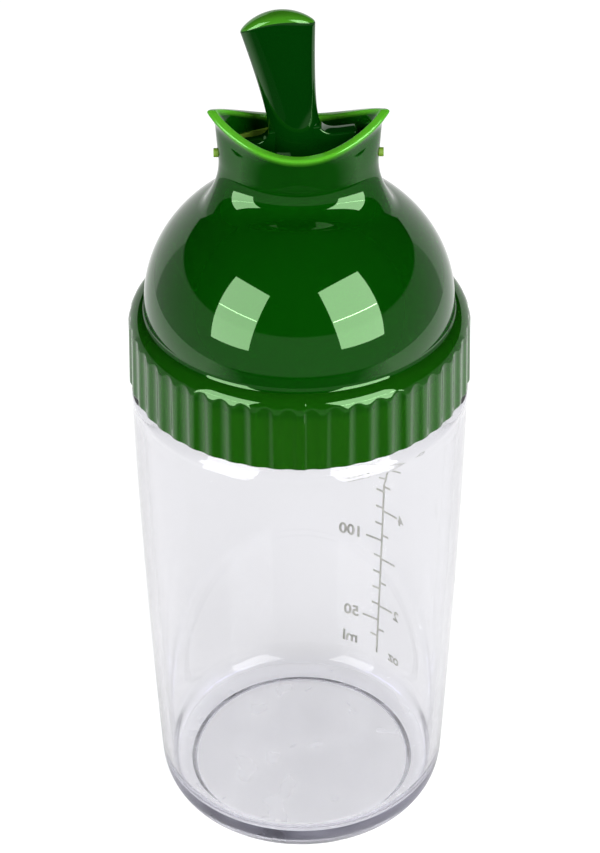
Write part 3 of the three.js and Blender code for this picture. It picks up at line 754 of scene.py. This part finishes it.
def stage_floor():
    """A white table top that keeps the shadow and goes white where nothing shades it."""
    bpy.ops.mesh.primitive_circle_add(vertices=128, radius=0.36, fill_type="NGON",
                                      location=(0, 0.11, -0.05 * MM))
    floor = bpy.context.object
    floor.name = "table_top"
    material, tree, shader = new_material("white_table_top")
    rays = add_node(tree, "ShaderNodeLightPath").outputs
    camera, through = rays["Is Camera Ray"], rays["Is Transmission Ray"]
    mirrored = add_node(tree, "ShaderNodeMath", {0: rays["Is Glossy Ray"], 1: through},
                        operation="GREATER_THAN").outputs[0]

    # Painted shade and light, seen only in mirrored rays: the table is dark in front and bright, and
    # glowing, at the sides and behind
    place = add_node(tree, "ShaderNodeTexCoord").outputs["Object"]
    parts = add_node(tree, "ShaderNodeSeparateXYZ", {"Vector": place})
    aside = add_node(tree, "ShaderNodeMath", {0: parts.outputs["X"]}, operation="ABSOLUTE")
    back_or_side = add_node(tree, "ShaderNodeMath", {0: aside.outputs[0], 2: parts.outputs["Y"]},
                            {1: 0.8}, operation="MULTIPLY_ADD")
    table = add_node(tree, "ShaderNodeMapRange", {"Value": back_or_side.outputs[0]},
                     ramp(-0.17, -0.04, 0.04, 1.1)).outputs["Result"]
    shade = add_node(tree, "ShaderNodeMix", {"Factor": mirrored, "B": table}, data_type="RGBA")
    shade.inputs["A"].default_value = linear("#B2B2B4")
    tree.links.new(shade.outputs["Result"], shader.inputs["Base Color"])
    shader.inputs["Roughness"].default_value = 0.8

    share = add_node(tree, "ShaderNodeMath", {0: camera}, {1: CAMERA_GLOW[0]}, operation="MULTIPLY")
    share = add_node(tree, "ShaderNodeMath", {0: through, 2: share.outputs[0]}, {1: BOTTLE_GLOW[0]},
                     operation="MULTIPLY_ADD")
    share = add_node(tree, "ShaderNodeMath", {0: mirrored, 2: share.outputs[0]},
                     {1: MIRRORED_GLOW_SHARE}, operation="MULTIPLY_ADD")
    strength = add_node(tree, "ShaderNodeMath", {0: camera}, {1: CAMERA_GLOW[1]}, operation="MULTIPLY")
    strength = add_node(tree, "ShaderNodeMath", {0: through, 2: strength.outputs[0]},
                        {1: BOTTLE_GLOW[1]}, operation="MULTIPLY_ADD")
    strength = add_node(tree, "ShaderNodeMath", {0: mirrored, 1: table, 2: strength.outputs[0]},
                        operation="MULTIPLY_ADD")
    glow = add_node(tree, "ShaderNodeEmission", {"Strength": strength.outputs[0]})
    both = add_node(tree, "ShaderNodeMixShader",
                    {"Fac": share.outputs[0], 1: shader.outputs[0], 2: glow.outputs[0]})
    tree.links.new(both.outputs[0], tree.nodes["Material Output"].inputs["Surface"])
    floor.data.materials.append(material)


# Light from each direction, as a unit vector. The backdrop is white where its depth behind the
# object is more than BEHIND_TOP times its height and BEHIND_SIDES times its offset to a side.
BEHIND_TOP = 2.3
BEHIND_SIDES = 0.72
FRONT_DIM = 0.008
BAND_MIDDLE, BAND_IN, BAND_OUT, BAND_LIGHT = -0.08, 0.31, 0.34, 0.55
BACKDROP_THROUGH_BOTTLE = 0.85


def studio_world():
    """White behind the object, dim in front but for a low band, and white past the table."""
    world = bpy.data.worlds.new("studio")
    bpy.context.scene.world = world
    world.use_nodes = True
    tree = world.node_tree
    place = add_node(tree, "ShaderNodeTexCoord").outputs["Generated"]
    parts = add_node(tree, "ShaderNodeSeparateXYZ", {"Vector": place}).outputs
    aside = add_node(tree, "ShaderNodeMath", {0: parts["X"]}, operation="ABSOLUTE")
    below_top = add_node(tree, "ShaderNodeMath", {0: parts["Z"], 2: parts["Y"]}, {1: -BEHIND_TOP},
                         operation="MULTIPLY_ADD")
    within_sides = add_node(tree, "ShaderNodeMath", {0: aside.outputs[0], 2: parts["Y"]},
                            {1: -BEHIND_SIDES}, operation="MULTIPLY_ADD")
    inside = add_node(tree, "ShaderNodeMath", {0: below_top.outputs[0], 1: within_sides.outputs[0]},
                      operation="MINIMUM")
    behind = add_node(tree, "ShaderNodeMapRange", {"Value": inside.outputs[0]},
                      ramp(-0.03, 0.05, FRONT_DIM, 1.0), interpolation_type="SMOOTHSTEP")
    away = add_node(tree, "ShaderNodeMath", {0: parts["Z"]}, {1: -BAND_MIDDLE}, operation="ADD")
    off_band = add_node(tree, "ShaderNodeMath", {0: away.outputs[0]}, operation="ABSOLUTE")
    low = add_node(tree, "ShaderNodeMapRange", {"Value": off_band.outputs[0]},
                   ramp(BAND_IN, BAND_OUT, BAND_LIGHT, 0.0))
    lit = add_node(tree, "ShaderNodeMath", {0: behind.outputs["Result"], 1: low.outputs["Result"]},
                   operation="MAXIMUM")
    rays = add_node(tree, "ShaderNodeLightPath").outputs
    through = add_node(tree, "ShaderNodeMath", {0: rays["Is Transmission Ray"]},
                       {1: BACKDROP_THROUGH_BOTTLE}, operation="MULTIPLY")
    seen = add_node(tree, "ShaderNodeMath", {0: rays["Is Camera Ray"], 1: through.outputs[0]},
                    operation="MAXIMUM")
    strength = add_node(tree, "ShaderNodeMath", {0: lit.outputs[0], 1: seen.outputs[0]},
                        operation="MAXIMUM")
    sky = tree.nodes["Background"]
    sky.inputs["Color"].default_value = linear("#FFFFFF")
    tree.links.new(strength.outputs[0], sky.inputs["Strength"])


def softbox(name, azimuth, elevation, distance, size, radiance):
    """A rectangular lamp facing the dome, placed in degrees from the front and up from level."""
    turn = Matrix.Rotation(math.radians(azimuth), 4, "Z")
    tip = Matrix.Rotation(math.radians(90 - elevation), 4, "X")
    lamp = bpy.data.lights.new(name, "AREA")
    lamp.shape = "RECTANGLE"
    lamp.size, lamp.size_y = size
    lamp.energy = radiance * math.pi * lamp.size * lamp.size_y
    holder = bpy.data.objects.new(name, lamp)
    bpy.context.collection.objects.link(holder)
    aim = Matrix.Translation((0, 0, DOME_CENTRE * MM))
    holder.matrix_world = aim @ turn @ tip @ Matrix.Translation((0, 0, distance))


stage_floor()
studio_world()
# Two tall softboxes, each with a thin bright tube across it, as the dome's highlights show
softbox("left_softbox", -49.0, 22.0, 0.75, (0.42, 0.70), 11.0)
softbox("right_softbox", 44.5, 26.0, 0.75, (0.48, 0.74), 12.5)
softbox("left_tube", -49.0, 24.0, 0.74, (0.40, 0.006), 36.0)
softbox("right_tube", 44.5, 25.0, 0.74, (0.46, 0.006), 60.0)

CAMERA_PLACE = (0.0, -387.1, 365.7)
CAMERA_PITCH = math.radians(36.08)
CAMERA_ROLL = math.radians(-0.3)
FOCAL_PIXELS = 2571.4
IMAGE_HEIGHT = 853

lens = bpy.data.cameras.new("camera")
lens.sensor_fit = "VERTICAL"
lens.sensor_height = 24.0
lens.lens = FOCAL_PIXELS / IMAGE_HEIGHT * lens.sensor_height
camera = bpy.data.objects.new("camera", lens)
bpy.context.collection.objects.link(camera)
pitch = Matrix.Rotation(math.pi / 2 - CAMERA_PITCH, 4, "X")
roll = Matrix.Rotation(CAMERA_ROLL, 4, "Z")
camera.matrix_world = Matrix.Translation(Vector(CAMERA_PLACE) * MM) @ pitch @ roll
bpy.context.scene.camera = camera
bpy.context.scene.view_settings.view_transform = "Standard"
